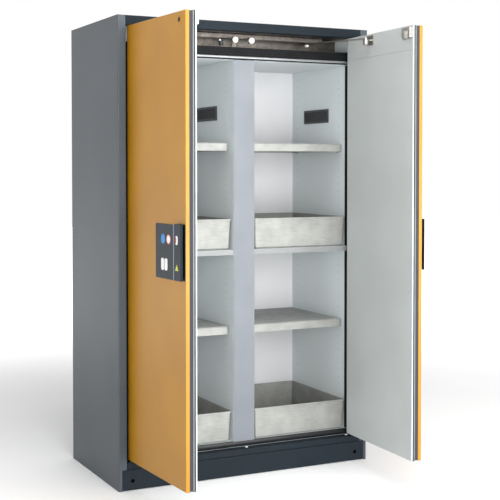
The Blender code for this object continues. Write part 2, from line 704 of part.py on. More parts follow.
def make_pivots(label, side, steel):
    """Fixed pivot pins: one stands on the sill, one hangs under the fascia."""
    centre = (across(side, DOOR_EDGE + PIVOT_INSET), FRONT + PIVOT_INSET)
    x = span(side, POST + 0.004, POST + 0.040)
    low = SILL_TOP + GAP
    lower = piece("lower_pivot_" + label, block(bmesh.new(), x, deep(0.0005, 0.034), (low, low + 0.003)), steel)
    fuse(lower, turned(bmesh.new(), centre, [(0, low + 0.001), (0.007, low + 0.001), (0.007, DOOR_LOW - 0.0004),
                                             (PIVOT_RADIUS, DOOR_LOW - 0.0004), (PIVOT_RADIUS, DOOR_LOW + 0.019),
                                             (0.003, DOOR_LOW + 0.020), (0, DOOR_LOW + 0.020)]))
    smooth(lower)
    high = FASCIA_LOW - GAP
    upper = piece("upper_pivot_" + label, block(bmesh.new(), x, deep(0.0005, 0.034), (high - 0.002, high)), steel)
    fuse(upper, rod(bmesh.new(), "Z", centre, PIVOT_RADIUS, DOOR_HIGH - 0.019, high - 0.001, 16))
    smooth(upper)


def make_door(label, side, finishes):
    """One door with all that rides on it, hung on its hinge axis and turned open."""
    toward = -side
    door = bpy.data.objects.new("door_hinge_axis_" + label, None)
    bpy.context.scene.collection.objects.link(door)
    door.location = (across(side, DOOR_EDGE + PIVOT_INSET), FRONT + PIVOT_INSET, 0.0)
    door.rotation_euler = (0.0, 0.0, side * OPEN_ANGLE)
    make_skin(label, toward, door, finishes["yellow"])
    make_door_boards(label, toward, door, finishes["core"], finishes["melamine"], finishes["seal"])
    make_handle(label, toward, door, finishes["slate"])
    make_catch_plate(label, toward, door, finishes["zinc"])
    make_arm_bracket(label, toward, door, finishes["zinc"])
    make_closer_arm(label, side, door, finishes["steel"])
    make_pivots(label, side, finishes["zinc"])
    return door


# ---------------------------------------------------------------- the cabinet

def build():
    start_empty_scene()
    finishes = {
        "anthracite": finish("anthracite powder coat", (0.035, 0.045, 0.052), 0.45),
        "yellow": finish("yellow powder coat", (0.83, 0.48, 0.05), 0.40),
        "melamine": finish("grey melamine", (0.50, 0.51, 0.50), 0.50),
        "core": finish("fire board", (0.10, 0.10, 0.10), 0.80),
        "seal": finish("black seal", (0.012, 0.013, 0.014), 0.60),
        "zinc": finish("galvanised steel", (0.50, 0.49, 0.46), 0.38, 1.0),
        "steel": finish("stainless steel", (0.62, 0.60, 0.58), 0.32, 1.0),
        "slate": finish("slate plastic", (0.040, 0.055, 0.070), 0.42),
        "nylon": finish("white nylon", (0.82, 0.82, 0.80), 0.40),
    }
    for label, side in SIDES.items():
        make_side_panel(label, side, finishes["anthracite"])
    make_roof(finishes["anthracite"])
    make_back(finishes["anthracite"])
    make_plinth(finishes["anthracite"])
    make_sill(finishes["anthracite"])
    make_base_frame(finishes["anthracite"])

    make_walls(finishes["melamine"])
    make_partition(finishes["melamine"])
    make_boards(finishes["melamine"])
    make_frame_seal(finishes["seal"])
    make_grille("vent_grille_left", -PARTITION / 2, -1, finishes["seal"])
    make_grille("vent_grille_right", across(1, WALL_INNER), -1, finishes["seal"])
    make_duct_collar(finishes["zinc"])

    make_header(finishes["zinc"])
    make_track(finishes["zinc"])
    make_order_lever(finishes["seal"])

    for label, side in SIDES.items():
        middle = side * (WIDTH / 2 - WALL_INNER + PARTITION / 2) / 2
        make_shelf("lower_shelf_" + label, middle, SHELF_LEVELS[0], finishes["steel"])
        make_shelf("upper_shelf_" + label, middle, SHELF_LEVELS[1], finishes["steel"])
        make_mid_board("middle_board_" + label, side, finishes["melamine"])
        make_tray("bottom_tray_" + label, middle, FLOOR_TOP + 0.0005, finishes["steel"])
        make_tray("middle_tray_" + label, middle, MID_BOARD[1] + 0.0005, finishes["steel"])
        make_catch_knob(label, side, finishes["nylon"])
        for end, far in zip(("front", "rear"), FOOT_DEEP):
            make_foot("levelling_foot_" + end + "_" + label, side, far, finishes["zinc"])
        door = make_door(label, side, finishes)
        if side < 0:
            make_label_plate(-side, door, finishes["slate"])


build()
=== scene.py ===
"""Flammable storage cabinet, both doors open: materials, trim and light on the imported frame."""

import math

import bmesh
import bpy
import numpy as np
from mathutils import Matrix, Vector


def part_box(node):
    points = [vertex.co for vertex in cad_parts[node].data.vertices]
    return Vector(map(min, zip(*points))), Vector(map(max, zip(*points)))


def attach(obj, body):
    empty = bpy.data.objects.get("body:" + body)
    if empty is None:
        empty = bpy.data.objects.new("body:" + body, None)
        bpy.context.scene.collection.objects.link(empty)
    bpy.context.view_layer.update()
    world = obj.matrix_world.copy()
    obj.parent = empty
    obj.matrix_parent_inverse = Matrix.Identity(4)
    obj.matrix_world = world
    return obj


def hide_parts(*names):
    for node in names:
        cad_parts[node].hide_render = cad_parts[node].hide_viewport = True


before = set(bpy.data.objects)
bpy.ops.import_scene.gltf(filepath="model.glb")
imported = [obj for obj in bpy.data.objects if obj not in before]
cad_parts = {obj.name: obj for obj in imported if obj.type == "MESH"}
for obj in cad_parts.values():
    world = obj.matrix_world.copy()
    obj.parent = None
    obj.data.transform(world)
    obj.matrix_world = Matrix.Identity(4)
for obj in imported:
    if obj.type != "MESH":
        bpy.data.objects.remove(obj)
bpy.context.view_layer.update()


# ---------------------------------------------------------------- casing
# Folded sheet steel, 1.5 mm: two sides, roof with the fascia, back, plinth cover and
# sill, screwed to a welded base frame.  Anthracite powder coat with a fine texture.

def linear(hex_colour):
    """Linear RGBA of an sRGB hex colour: the power 2.4 part of the sRGB curve, straight near black."""
    raw = np.array([int(hex_colour[i:i + 2], 16) for i in (1, 3, 5)]) / 255
    return (*np.where(raw <= 0.04045, raw / 12.92, ((raw + 0.055) / 1.055) ** 2.4).tolist(), 1.0)


def add(tree, kind, inputs=None, **settings):
    """One shader node: its settings, then each input given a value or another node's output."""
    made = tree.nodes.new(kind)
    for name, value in settings.items():
        setattr(made, name, value)
    for socket, value in (inputs or {}).items():
        if isinstance(value, bpy.types.NodeSocket):
            tree.links.new(value, made.inputs[socket])
        else:
            made.inputs[socket].default_value = value
    return made


def new_material(name, **sockets):
    """A material with one Principled shader, its tree, and the object coordinates that its patterns read."""
    material = bpy.data.materials.new(name)
    material.use_nodes = True
    tree = material.node_tree
    tree.nodes.clear()
    values = {key.replace("_", " "): value for key, value in sockets.items()}
    shader = add(tree, "ShaderNodeBsdfPrincipled", values)
    add(tree, "ShaderNodeOutputMaterial", {"Surface": shader.outputs["BSDF"]})
    where = add(tree, "ShaderNodeTexCoord").outputs["Object"]
    return material, tree, shader, where


def per_metre(millimetres):
    """Texture scale whose features are about this many millimetres across."""
    return 1000.0 / millimetres


def tone(tree, where, dark, light, drift_mm, detail=2.0):
    """Colour that drifts between two tones with a noise of the given feature size."""
    noise = add(tree, "ShaderNodeTexNoise",
                {"Vector": where, "Scale": per_metre(drift_mm), "Detail": detail})
    share = add(tree, "ShaderNodeMapRange",
                {"Value": noise.outputs["Fac"], "From Min": 0.35, "From Max": 0.65})
    mix = add(tree, "ShaderNodeMix",
              {"Factor": share.outputs["Result"], "A": linear(dark), "B": linear(light)}, data_type="RGBA")
    return mix.outputs["Result"]


def grain(tree, where, shader, grain_mm, high_mm, roughness):
    """Bump of one grain size and height, with the roughness swinging between two values on the same grain."""
    noise = add(tree, "ShaderNodeTexNoise", {"Vector": where, "Scale": per_metre(grain_mm), "Detail": 2.0})
    bump = add(tree, "ShaderNodeBump",
               {"Height": noise.outputs["Fac"], "Distance": high_mm / 1000, "Strength": 1.0})
    tree.links.new(bump.outputs["Normal"], shader.inputs["Normal"])
    swing = add(tree, "ShaderNodeMapRange", {"Value": noise.outputs["Fac"], "From Min": 0.3, "From Max": 0.7,
                                             "To Min": roughness[0], "To Max": roughness[1]})
    tree.links.new(swing.outputs["Result"], shader.inputs["Roughness"])


def toned(name, dark, light, drift_mm, **sockets):
    """A material whose colour drifts slowly between two tones."""
    material, tree, shader, where = new_material(name, **sockets)
    tree.links.new(tone(tree, where, dark, light, drift_mm), shader.inputs["Base Color"])
    return material, tree, shader, where


def satin(name, dark, light, drift_mm, grain_mm, high_mm, roughness, **sockets):
    """A toned material with a fine grain in its surface, which also swings its gloss."""
    material, tree, shader, where = toned(name, dark, light, drift_mm, **sockets)
    grain(tree, where, shader, grain_mm, high_mm, roughness)
    return material


def dress(material, *nodes):
    """Give CAD nodes their material."""
    for name in nodes:
        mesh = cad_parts[name].data
        mesh.materials.clear()
        mesh.materials.append(material)


# dark and matt; this darker copy of the one paint is painted shade on the roof with its fascia, the plinth,
# the sill and the base frame; the texture of the powder is under 1 mm and is drawn at 3 mm so that it shows
anthracite = satin("powder_coat_anthracite_front_painted_shade", "#141C22", "#182027", 260, 3.0, 0.05, (0.58, 0.68),
                   IOR=1.5, Specular_IOR_Level=0.15)
dress(anthracite, "roof_panel", "plinth_panel", "sill_rail", "base_frame")
# the sides and the back take the same paint a shade lighter, a painted sheen for the light that grazes them;
# they are also glossier, for a real soft sheen
sides_anthracite_painted_sheen = satin("anthracite_sides_painted_sheen", "#303940", "#353E45", 260, 3.0, 0.05, (0.36, 0.46),
                        IOR=1.5)
dress(sides_anthracite_painted_sheen, "side_panel_left", "side_panel_right", "back_panel")


# ---------------------------------------------------------------- screws of the casing
# Low round-headed screws that hold the back sheet down both sides, and the white
# plastic buttons that cover the fixing screws of the sill.

TIP = 0.0001                    # smallest ring of a turned shape, closed by a flat cap


def disc_loops(profile, sides=16):
    """Loops of a turned shape: each (radius, height) becomes a ring of sides points, cosine and sine times
    the radius across, the height along the axis; rings run up the profile."""
    turn = np.linspace(0, 2 * math.pi, sides, endpoint=False)
    profile = np.asarray(profile, float)
    flat = profile[:, None, :1] * np.stack((np.cos(turn), np.sin(turn)), -1)[None]
    high = np.broadcast_to(profile[:, None, 1:], flat.shape[:2] + (1,))
    return np.concatenate((flat, high), -1)


def stand(loops, centres, across, up):
    """Copy loops of (across, up, out) points to each centre; out is the cross product of across and up."""
    axes = np.stack((across, up, np.cross(across, up)))
    return np.asarray(centres, float)[:, None, None, :] + (loops @ axes)[None]


def shell(name, points, body, material, ring=False):
    """A mesh of closed tubes from points of shape copies, rows, columns, 3: the columns close on themselves,
    and the rows end in caps, or close too for a ring.  Faces are turned outward, and edges over 40 degrees
    stay sharp."""
    copies, rows, columns = points.shape[:3]
    index = np.arange(copies * rows * columns).reshape(copies, rows, columns)
    below = index if ring else index[:, :-1]
    above = np.roll(index, -1, 1) if ring else index[:, 1:]
    quads = np.stack((below, np.roll(below, -1, 2), np.roll(above, -1, 2), above), -1).reshape(-1, 4)
    caps = [] if ring else index[:, 0, ::-1].tolist() + index[:, -1].tolist()
    mesh = bpy.data.meshes.new(name)
    mesh.from_pydata(points.reshape(-1, 3), [], quads.tolist() + caps)
    form = bmesh.new()
    form.from_mesh(mesh)
    bmesh.ops.recalc_face_normals(form, faces=form.faces)
    form.to_mesh(mesh)
    form.free()
    mesh.materials.append(material)
    mesh.shade_smooth()
    mesh.set_sharp_from_angle(angle=math.radians(40))
    piece = bpy.data.objects.new(name, mesh)
    bpy.context.scene.collection.objects.link(piece)
    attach(piece, body)
    return piece


X, Y, Z = np.eye(3)
front = np.array(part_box("side_panel_left")[0])
half_width, front_y = -front[0], front[1]

# bright plated steel, slightly uneven
zinc_screw, *_ = toned("zinc_plated_screw", "#A9A8A4", "#C4C3BF", 4, Metallic=1.0, Roughness=0.38)

BACK_SCREWS = 8                 # down each side of the back sheet
SCREW_RADIUS, SCREW_HIGH = 0.005, 0.0022
SCREW_FROM_SIDE, SCREW_FROM_END = 0.012, 0.03
# out along the rim, over the crown and down into the drive recess, as shares of radius and height
screw = np.array([(1, 0), (1, 0.45), (0.86, 0.85), (0.55, 1), (0.38, 1), (0.30, 0.35), (0.02, 0.35)])
back_low, back_high = (np.array(corner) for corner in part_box("back_panel"))
screw_z = np.linspace(back_low[2] + SCREW_FROM_END, back_high[2] - SCREW_FROM_END, BACK_SCREWS)
places = [(side * (back_high[0] - SCREW_FROM_SIDE), back_high[1], z) for side in (-1, 1) for z in screw_z]
shell("back_screws", stand(disc_loops(screw * (SCREW_RADIUS, SCREW_HIGH)), places, -X, Z), "cabinet",
      zinc_screw)

# soft white with a faint warm cast and the mould's fine matt texture
nylon = satin("white_moulded_nylon", "#E8E8E4", "#F2F2EF", 9, 0.8, 0.01, (0.34, 0.42),
              IOR=1.53, Subsurface_Weight=0.05)

BUTTON_FROM_SIDE, BUTTON_DEEP = 0.090, 0.027
button = [(0.0065, 0.0), (0.0065, 0.0008), (0.0058, 0.0017), (0.0040, 0.0022), (TIP, 0.0024)]
sill_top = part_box("sill_rail")[1][2]
button_x = (-half_width + BUTTON_FROM_SIDE, 0.0, half_width - BUTTON_FROM_SIDE)
places = [(x, front_y + BUTTON_DEEP, sill_top) for x in button_x]
shell("sill_buttons", stand(disc_loops(button, 20), places, X, Y), "cabinet", nylon)


# ---------------------------------------------------------------- interior boards
# Fire-resistant boards with a light grey melamine face: side walls, centre wall, back,
# ceiling, floor and the loose middle boards.

melamine, tree, shader, where = new_material("light_grey_melamine", IOR=1.5)
# even satin grey; the pearl grain of the overlay is about 0.5 mm and is drawn at 2 mm so that it shows
colour = tone(tree, where, "#CCD3D5", "#D2D8D9", 320)
pearl = tone(tree, where, "#CAD1D3", "#D6DBDC", 2.0, detail=3.0)
blend = add(tree, "ShaderNodeMix", {"Factor": 0.4, "A": colour, "B": pearl}, data_type="RGBA")
tree.links.new(blend.outputs["Result"], shader.inputs["Base Color"])
grain(tree, where, shader, 2.0, 0.02, (0.40, 0.50))
dress(melamine, "wall_board_left", "wall_board_right", "floor_board", "ceiling_board")

# the back board's face is a neutral grey, without the pearl
back_melamine = satin("white_melamine", "#CACACC", "#D1D1D3", 320, 2.0, 0.02, (0.40, 0.50), IOR=1.5)
dress(back_melamine, "back_board")

BAND_THICK = 0.0006


def banded_board(name, dark, light, *nodes):
    """Grey melamine faces as on the walls, and a band of another tone glued over the front edge: every point
    less than the band's thickness behind the front takes the band's tone."""
    material, tree, shader, where = new_material(name, IOR=1.5)
    face = tone(tree, where, "#CCD3D5", "#D2D8D9", 320)
    band = tone(tree, where, dark, light, 200)
    depth = add(tree, "ShaderNodeSeparateXYZ", {"Vector": where}).outputs["Y"]
    on_edge = add(tree, "ShaderNodeMath", {0: depth, 1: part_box(nodes[0])[0][1] + BAND_THICK},
                  operation="LESS_THAN")
    mix = add(tree, "ShaderNodeMix", {"Factor": on_edge.outputs[0], "A": face, "B": band}, data_type="RGBA")
    tree.links.new(mix.outputs["Result"], shader.inputs["Base Color"])
    grain(tree, where, shader, 2.0, 0.02, (0.40, 0.50))
    dress(material, *nodes)


# a cool blue grey band on the centre wall, a plain grey one on the loose boards
banded_board("centre_wall_melamine", "#656A70", "#6C7177", "partition")
banded_board("loose_board_melamine", "#797B7B", "#818383", "middle_board_left", "middle_board_right")


# ---------------------------------------------------------------- pin hole columns
# Rows of drilled holes, 32 mm apart, in both walls of each bay, where the shelf pins
# can be moved up or down.  Each is drawn as a small flat grey dot: partly the raw board, partly painted shade
# of the hole.

# the raw board inside the hole, matt, darkened with painted shade for the hole's depth
hole_board_and_painted_shade, *_ = toned("raw_board_and_painted_hole_shade", "#6F7272", "#858888", 1.5, Roughness=0.9)

HOLE_PITCH = 0.032
HOLE_RUNS = ((0.33, 0.57), (0.69, 0.93), (1.16, 1.38), (1.49, 1.53), (1.63, 1.76))     # above the floor
HOLE_DEPTHS = (0.130, 0.520)                                                           # behind the front
dot = [(0.0023, 0.0), (0.0023, 0.00008), (0.0016, 0.0001), (TIP, 0.0001)]

wall_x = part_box("wall_board_left")[1][0]
centre_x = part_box("partition")[0][0]
hole_z = np.concatenate([np.arange(low, high, HOLE_PITCH) for low, high in HOLE_RUNS])
bays = {"left": ((wall_x, 1), (centre_x, -1)), "right": ((-centre_x, 1), (-wall_x, -1))}
for label, walls in bays.items():
    columns = [stand(disc_loops(dot, 8), [(x, front_y + deep, z) for deep in HOLE_DEPTHS for z in hole_z],
                     facing * Y, Z) for x, facing in walls]
    shell("pin_holes_" + label, np.concatenate(columns), "cabinet", hole_board_and_painted_shade)


# ---------------------------------------------------------------- seals of the opening
# Black ribbed seal round the opening, a satin trim strip under it at the head, and a
# round rubber gasket in the groove of the ceiling board.

# near black and matt, with a faint grey bloom
rubber = satin("black_seal_rubber", "#0B0C0D", "#121416", 40, 1.2, 0.02, (0.50, 0.62),
               IOR=1.5, Specular_IOR_Level=0.12)
dress(rubber, "frame_seal", "door_edge_seal_left", "door_edge_seal_right")

# grey satin strip that catches the light along its length
trim_grey = satin("anodised_trim_strip", "#8E9091", "#9A9C9D", 60, 1.5, 0.01, (0.30, 0.38), Metallic=0.6)

SIDE_GAP = 0.0015               # from the ends of the strips to the side walls


def carried(section, ends, axis):
    """A closed section of points in two coordinates, carried straight along the third, whose place is axis:
    one loop of points at each of the two ends."""
    flat = np.broadcast_to(section, (2,) + np.shape(section))
    along = np.broadcast_to(np.reshape(ends, (2, 1, 1)), flat.shape[:2] + (1,))
    return np.concatenate((flat[..., :axis], along, flat[..., axis:]), -1)[None]


def oval(centre, wide, tall, sides=14):
    """Ellipse of points round a centre: half the width times the cosine, half the height times the sine."""
    turn = np.linspace(0, 2 * math.pi, sides, endpoint=False)
    return centre + np.stack((wide / 2 * np.cos(turn), tall / 2 * np.sin(turn)), -1)


board_y, ceiling_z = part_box("ceiling_board")[0][1:]
across_bays = (wall_x + SIDE_GAP, -wall_x - SIDE_GAP)
# sections in depth and height, from the lower front edge of the ceiling board
strip = np.array([(-0.0010, 0.0078), (-0.0002, 0.0072), (-0.0002, 0.0146), (-0.0010, 0.0142),
                  (-0.0016, 0.0125), (-0.0016, 0.0095)]) + (board_y, ceiling_z)
shell("head_trim_strip", carried(strip, across_bays, 0), "cabinet", trim_grey)
gasket = oval(np.array((board_y + 0.0022, ceiling_z + 0.0034)), 0.0056, 0.0058)
shell("head_gasket", carried(gasket, across_bays, 0), "cabinet", rubber)


# ---------------------------------------------------------------- threshold and side lips
# Dark satin profile that is folded over the front edge of the floor board, and thin
# black lips of the seal that lap onto both side walls.

# near black, a little brighter where the light grazes it
dark_profile = satin("black_anodised_profile", "#121416", "#1A1D20", 90, 1.2, 0.01, (0.28, 0.36),
                     IOR=1.5, Specular_IOR_Level=0.3)

floor_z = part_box("floor_board")[1][2]
# section in depth and height, from the upper front edge of the floor board
fold = np.array([(-0.0004, -0.0120), (-0.0024, -0.0120), (-0.0024, -0.0020), (-0.0012, 0.0006),
                 (0.0010, 0.0011), (0.0125, 0.0011), (0.0125, 0.0002),
                 (-0.0004, -0.0002)]) + (board_y, floor_z)
shell("threshold_profile", carried(fold, across_bays, 0), "cabinet", dark_profile)

# section across the wall's face and in depth, from the front edge of the wall
lip_off_wall = np.array((0.0002, 0.0008, 0.0008, 0.0002))
lip_deep = np.array((-0.0022, -0.0014, 0.0240, 0.0246))
lip_ends = (floor_z + 0.0015, ceiling_z - 0.0005)
for label, side in (("left", -1), ("right", 1)):
    lip = np.stack((side * (-wall_x - lip_off_wall), board_y + lip_deep), -1)
    shell("seal_lip_" + label, carried(lip, lip_ends, 2), "cabinet", rubber)


# ---------------------------------------------------------------- trays and shelves
# Leak trays and shelves pressed from coated sheet, 1.2 mm, with hemmed rims and a soft
# satin reflection.

def streaks(tree, where, marks_per_metre):
    """Noise drawn out along the axes where the marks per metre are few."""
    stretch = add(tree, "ShaderNodeMapping", {"Vector": where, "Scale": marks_per_metre})
    noise = add(tree, "ShaderNodeTexNoise",
                {"Vector": stretch.outputs["Vector"], "Scale": 1.0, "Detail": 3.0})
    return noise.outputs["Fac"]


tray_sheet, tree, shader, where = new_material("rolled_coated_sheet", Metallic=0.35)
# pale and soft, with faint streaks from rolling; real streaks are finer and are drawn 1.5 mm thick
cloud = add(tree, "ShaderNodeTexNoise", {"Vector": where, "Scale": per_metre(60), "Detail": 2.0})
both = add(tree, "ShaderNodeMath", {0: streaks(tree, where, (25.0, 25.0, 650.0)), 1: cloud.outputs["Fac"]},
           operation="ADD")
share = add(tree, "ShaderNodeMapRange", {"Value": both.outputs[0], "From Min": 0.7, "From Max": 1.3})
mix = add(tree, "ShaderNodeMix",
          {"Factor": share.outputs["Result"], "A": linear("#868783"), "B": linear("#9C9D99")},
          data_type="RGBA")
tree.links.new(mix.outputs["Result"], shader.inputs["Base Color"])
grain(tree, where, shader, 1.5, 0.01, (0.56, 0.66))
dress(tray_sheet, "bottom_tray_left", "bottom_tray_right", "middle_tray_left", "middle_tray_right",
      "lower_shelf_left", "lower_shelf_right", "upper_shelf_left", "upper_shelf_right")


# ---------------------------------------------------------------- extract grilles
# Black moulded plastic grilles with upright bars, pressed into the boards over the
# exhaust slots.  The lever in the header is moulded from the same plastic.

# dark satin, fine mould texture
black_plastic = satin("black_moulded_plastic", "#1B1D1F", "#25282A", 30, 1.0, 0.02, (0.38, 0.48), IOR=1.5)
dress(black_plastic, "vent_grille_left", "vent_grille_right", "order_lever")


# ---------------------------------------------------------------- header with the closer gear
# Galvanised channel above the ceiling board, with the closer track, the arms and their
# rollers, the catches and the exhaust collar in the roof.

def galvanised(name, dark, light, spangle_mm, roughness):
    """Zinc coated sheet: frozen crystal patches of slightly different tone and gloss, and a fine
    unevenness."""
    material, tree, shader, where = new_material(name, Metallic=1.0)
    cells = add(tree, "ShaderNodeTexVoronoi",
                {"Vector": where, "Scale": per_metre(spangle_mm), "Randomness": 1.0})
    shade = add(tree, "ShaderNodeSeparateColor", {"Color": cells.outputs["Color"]})
    share = add(tree, "ShaderNodeMapRange", {"Value": shade.outputs["Red"], "To Min": 0.1, "To Max": 0.9})
    mix = add(tree, "ShaderNodeMix",
              {"Factor": share.outputs["Result"], "A": linear(dark), "B": linear(light)}, data_type="RGBA")
    tree.links.new(mix.outputs["Result"], shader.inputs["Base Color"])
    rough = add(tree, "ShaderNodeMapRange",
                {"Value": shade.outputs["Green"], "To Min": roughness[0], "To Max": roughness[1]})
    tree.links.new(rough.outputs["Result"], shader.inputs["Roughness"])
    noise = add(tree, "ShaderNodeTexNoise", {"Vector": where, "Scale": per_metre(1.6), "Detail": 3.0})
    bump = add(tree, "ShaderNodeBump", {"Height": noise.outputs["Fac"], "Distance": 0.00002, "Strength": 1.0})
    tree.links.new(bump.outputs["Normal"], shader.inputs["Normal"])
    return material


# dark and hard: a darkened copy of the zinc, painted shade for the recess under the roof, patches about 12 mm
# across
channel_zinc_painted_shade = galvanised("galvanised_channel_painted_shade", "#4C4845", "#635E59", 12.0, (0.34, 0.46))
dress(channel_zinc_painted_shade, "header_tray", "closer_track", "exhaust_collar")
# small bright pressings, fine spangle
fitting_zinc = galvanised("galvanised_fitting", "#A9A7A2", "#C4C2BD", 5.0, (0.30, 0.42))
dress(fitting_zinc, "catch_plate_left", "catch_plate_right", "arm_bracket_left", "arm_bracket_right",
      "levelling_foot_front_left", "levelling_foot_front_right", "levelling_foot_rear_left",
      "levelling_foot_rear_right")

# dark oiled oxide on the pivot plates and pins
black_steel = satin("blackened_steel", "#1E2022", "#2B2D2F", 6, 1.0, 0.01, (0.40, 0.50), Metallic=0.8)
dress(black_steel, "lower_pivot_left", "lower_pivot_right", "upper_pivot_left", "upper_pivot_right")

bar_steel, tree, shader, where = new_material("drawn_bar_steel", Metallic=1.0)
# plated flat bar with fine marks along its length, drawn about 1 mm wide
marks = streaks(tree, where, (40.0, 900.0, 900.0))
mix = add(tree, "ShaderNodeMix", {"Factor": marks, "A": linear("#96938E"), "B": linear("#B5B2AC")},
          data_type="RGBA")
tree.links.new(mix.outputs["Result"], shader.inputs["Base Color"])
rough = add(tree, "ShaderNodeMapRange", {"Value": marks, "To Min": 0.28, "To Max": 0.42})
tree.links.new(rough.outputs["Result"], shader.inputs["Roughness"])
dress(bar_steel, "closer_arm_left", "closer_arm_right")

# white catch knobs: a neck, a stepped face and a ring groove round a small boss, as shares of the radius
# and the height
knob = np.array([(0.45, 0.0), (0.45, 0.30), (0.92, 0.30), (1.0, 0.37), (1.0, 0.86), (0.96, 0.93),
                 (0.88, 0.97), (0.62, 0.97), (0.58, 0.80), (0.46, 0.80), (0.42, 0.99), (0.36, 1.0),
                 (0.008, 1.0)])
for label in ("left", "right"):
    low, high = (np.array(corner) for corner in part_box("catch_knob_" + label))
    root = ((low[0] + high[0]) / 2, high[1], (low[2] + high[2]) / 2)
    scale = ((high[0] - low[0]) / 2, high[1] - low[1])
    turned = shell("catch_knob_turned_" + label, stand(disc_loops(knob * scale, 32), [root], X, Z), "cabinet",
                   nylon)
    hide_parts("catch_knob_" + label)


def ball_profile(radius, half_high, steps=11):
    """Half a turn from pole to pole: the cosine times the radius, the sine times half the height."""
    turn = np.linspace(-math.pi / 2, math.pi / 2, steps)
    return np.stack((radius * np.cos(turn) + TIP, half_high * np.sin(turn)), -1)


# white nylon balls, slightly flattened, on the underside of the arm ends, below the track
ROLLER_X, ROLLER_Z = 0.3425, 1.8800
track_low, track_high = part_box("closer_track")
track_y = (track_low[1] + track_high[1]) / 2
for label, side in (("left", -1), ("right", 1)):
    roller = stand(disc_loops(ball_profile(0.0098, 0.0060), 24), [(side * ROLLER_X, track_y, ROLLER_Z)], X, Y)
    shell("roller_ball_" + label, roller, "closer_arm_" + label, nylon)

# the lever's white end ball, placed from the middle of its hub
HUB_RADIUS = 0.009
BALL_FROM_HUB, BALL_Z = (-0.0135, -0.0175), 1.8790
lever_low, lever_high = (np.array(corner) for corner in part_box("order_lever"))
hub = lever_high[:2] - HUB_RADIUS
shell("lever_ball", stand(disc_loops(ball_profile(0.0042, 0.0042)), [(*(hub + BALL_FROM_HUB), BALL_Z)], X, Y),
      "order_lever", nylon)


def coil(centre, radius, wire, low, pitch, turns, steps=96, sides=8):
    """Wire along a helix: the centre line climbs one pitch a turn, and a small circle stands square to it."""
    t = np.linspace(0, 2 * math.pi * turns, steps)[:, None]
    v = np.linspace(0, 2 * math.pi, sides, endpoint=False)[None]
    reach = radius + wire * np.cos(v)
    return np.stack((centre[0] + reach * np.cos(t), centre[1] + reach * np.sin(t),
                     low + pitch * t / (2 * math.pi) + wire * np.sin(v)), -1)[None]


# the lever's steel coil spring, which stands on the channel
WIRE = 0.0007
spring = coil(hub, radius=0.0084, wire=WIRE, low=lever_low[2] + WIRE, pitch=0.0019, turns=4)
shell("lever_spring", spring, "cabinet", zinc_screw)


# ---------------------------------------------------------------- doors
# Each door is a yellow powder coated steel pan round a dark fire board, with a grey
# melamine panel and a strip above it on the inside.

# warm yellow with a soft sheen; the orange peel of the baked powder is drawn at 4 mm
yellow = satin("powder_coat_yellow", "#A37110", "#A97712", 260, 4.0, 0.03, (0.34, 0.42),
               IOR=1.5, Specular_IOR_Level=0.4)
dress(yellow, "door_skin_left", "door_skin_right")

fire_board, tree, shader, where = new_material("raw_fire_board", Roughness=0.85)
# dark slate grey fibres, running up the edge, drawn 2 mm wide so that they show
fibres = streaks(tree, where, (500.0, 500.0, 60.0))
mix = add(tree, "ShaderNodeMix", {"Factor": fibres, "A": linear("#26262B"), "B": linear("#3B3A40")},
          data_type="RGBA")
tree.links.new(mix.outputs["Result"], shader.inputs["Base Color"])
bump = add(tree, "ShaderNodeBump", {"Height": fibres, "Distance": 0.0002})
tree.links.new(bump.outputs["Normal"], shader.inputs["Normal"])
dress(fire_board, "door_core_left", "door_core_right")

# the doors' inner panels and top strips take the melamine a shade darker than the walls, as painted shade
door_melamine_painted_shade = satin("door_melamine_painted_shade", "#B2B6B5", "#B9BDBC", 320, 2.0, 0.02, (0.40, 0.50), IOR=1.5)
dress(door_melamine_painted_shade, "door_inner_panel_left", "door_inner_panel_right", "door_top_strip_left",
      "door_top_strip_right")

OPEN = math.radians(87.5)
AXIS_FROM_SIDE = 0.055          # hinge axis from the cabinet's side
INSET = 0.008                   # hinge axis from the door's edge and outer face
DOOR_WIDE = 0.5478
THICK = 0.046
door_low, door_high = (corner[2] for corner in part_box("door_skin_left"))


def door_axes(side):
    """Unit vectors of an open door: along it from the hinge, and through it from the outer face inward.  They
    are the cosine and sine of the angle it is open, turned the other way for the other door."""
    turn = side * OPEN
    along = -side * np.array((math.cos(turn), math.sin(turn), 0.0))
    through = np.array((-math.sin(turn), math.cos(turn), 0.0))
    return along, through


def on_door(side, along, through, high):
    """World places from distances along the door, through it and above the floor."""
    run, cross = door_axes(side)
    along, through, high = np.broadcast_arrays(np.asarray(along, float), through, high)
    hinge = np.array((side * (half_width - AXIS_FROM_SIDE), front_y + INSET, 0.0))
    return (hinge + (along[..., None] - INSET) * run + (through[..., None] - INSET) * cross
            + high[..., None] * Z)


def door_band(name, label, side, near, far, proud, material):
    """Strip round the four edges of a door: a thin rectangle between two depths, carried round the
    corners."""
    bedded = -0.0005            # how far the strip goes into the edge
    corner = np.array(((0.0, door_low), (DOOR_WIDE, door_low), (DOOR_WIDE, door_high), (0.0, door_high)))
    outward = np.array(((-1, -1), (1, -1), (1, 1), (-1, 1)))
    out = np.array((bedded, proud, proud, bedded))
    depth = np.array((near, near, far, far))
    flat = corner[:, None, :] + outward[:, None, :] * out[None, :, None]
    points = on_door(side, flat[..., 0], depth[None], flat[..., 1])[None]
    return shell(name, points, "door_" + label, material, ring=True)


# thin satin edging tape, mid grey, and beside it the dark strip that swells in a fire
edging = satin("grey_edging_tape", "#5B6063", "#64696C", 120, 1.5, 0.01, (0.40, 0.50), IOR=1.5)
for label, side in (("left", -1), ("right", 1)):
    door_band("door_edging_" + label, label, side, 0.0296, 0.0357, 0.0002, edging)
    door_band("door_swelling_strip_" + label, label, side, 0.0361, 0.0405, 0.0003, rubber)

